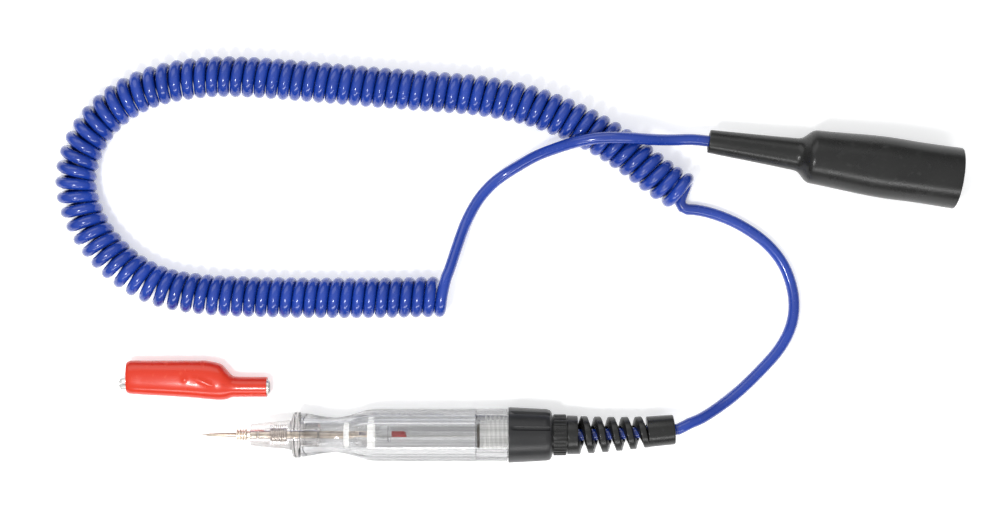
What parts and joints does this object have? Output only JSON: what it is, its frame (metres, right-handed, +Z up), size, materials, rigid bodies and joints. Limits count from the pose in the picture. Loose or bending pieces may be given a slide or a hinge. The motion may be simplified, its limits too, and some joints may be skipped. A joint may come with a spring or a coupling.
{
  "type": "circuit test light",
  "caption": "Clear-handled circuit test light with a needle probe, a lamp inside, a curly cord to a booted ground clip, and a loose booted clip for the probe.",
  "frame": {"origin": "on the floor, midway along and across the handle and the loose clip together, without the cord and what is on it", "axes": "+Z up; +X along the handle from the probe's point to the cord; +Y from the handle towards the coiled cord"},
  "size_m": [0.3321, 0.1489, 0.0227],
  "materials": {
    "clear_acrylic": "clear moulded acrylic",
    "lamp_glass": "clear lamp",
    "steel": "nickel-plated",
    "brass": "turned brass",
    "white_nylon": "natural nylon",
    "red_sleeving": "shrunk sleeving",
    "black_plastic": "moulded, satin",
    "black_rubber": "moulded, satin",
    "cord_jacket": "glossy blue polyurethane",
    "red_vinyl": "glossy dipped vinyl"
  },
  "bodies": {
    "handle": {"barrel": "clear_acrylic", "front_disc": "white_nylon", "rear_disc": "white_nylon", "lamp": "lamp_glass", "lamp_lead": "steel", "resistor_sleeve": "red_sleeving", "resistor_lead": "steel", "contact_disc": "brass", "contact_spring": "steel", "cord_terminal": "brass", "rear_plug": "white_nylon", "strain_relief": "black_rubber", "relief_ring": "black_rubber", "cord_in_relief": "cord_jacket", "cord_tail_handle": "cord_jacket", "cord_coil": "cord_jacket", "cord_tail_clip": "cord_jacket", "clip_fixed_jaw": "steel", "clip_pin": "steel", "clip_spring": "steel", "clip_conductor": "brass", "clip_screw": "steel"},
    "probe": {"probe_needle": "steel", "probe_collar": "brass", "probe_rod": "brass"},
    "nose": {"nose_cone": "clear_acrylic", "nose_insert": "brass"},
    "washer": {"cap_washer": "steel"},
    "cap": {"rear_cap": "black_plastic"},
    "ground_boot": {"clip_boot": "black_rubber"},
    "ground_jaw": {"clip_moving_jaw": "steel"},
    "loose_clip": {"slip_socket": "steel", "loose_clip_boot": "red_vinyl", "loose_clip_fixed_jaw": "steel", "loose_clip_pin": "steel", "loose_clip_spring": "steel"},
    "loose_jaw": {"loose_clip_moving_jaw": "steel"}
  },
  "joints": [
    {"name": "nose_travel", "type": "slide", "parent": "handle", "child": "probe", "axis": [-1, 0, 0], "range_m": [0, 0.006]},
    {"name": "nose_turn", "type": "hinge", "parent": "probe", "child": "nose", "pos_m": [-0.03, -0.0084, 0.01015], "axis": [-1, 0, 0], "range_deg": [0, 2160]},
    {"name": "cap_travel", "type": "slide", "parent": "handle", "child": "washer", "axis": [1, 0, 0], "range_m": [0, 0.0075]},
    {"name": "cap_turn", "type": "hinge", "parent": "washer", "child": "cap", "pos_m": [0.05, -0.0084, 0.01015], "axis": [1, 0, 0], "range_deg": [0, 2160]},
    {"name": "ground_boot_slide", "type": "slide", "parent": "handle", "child": "ground_boot", "axis": [-0.9884, 0.1495, -0.0275], "range_m": [0, 0.006]},
    {"name": "ground_jaw_open", "type": "hinge", "parent": "handle", "child": "ground_jaw", "pos_m": [0.166, 0.09133, 0.0104], "axis": [-0.1495, -0.9888, 0], "range_deg": [0, 10], "stiffness_Nm_per_rad": 0.05, "springref_deg": -28.65},
    {"name": "loose_clip_lift", "type": "slide", "parent": "handle", "child": "loose_clip", "axis": [0, 0, 1], "range_m": [0, 0.06]},
    {"name": "loose_jaw_open", "type": "hinge", "parent": "loose_clip", "child": "loose_jaw", "pos_m": [-0.07732, 0.0118, 0.005], "axis": [0, 0, -1], "range_deg": [0, 10], "stiffness_Nm_per_rad": 0.03, "springref_deg": -28.65}
  ],
  "couplings": [
    {"joint": "nose_travel", "follows": "nose_turn", "m_per_rad": 0.00015915},
    {"joint": "cap_travel", "follows": "cap_turn", "m_per_rad": 0.00019894}
  ]
}
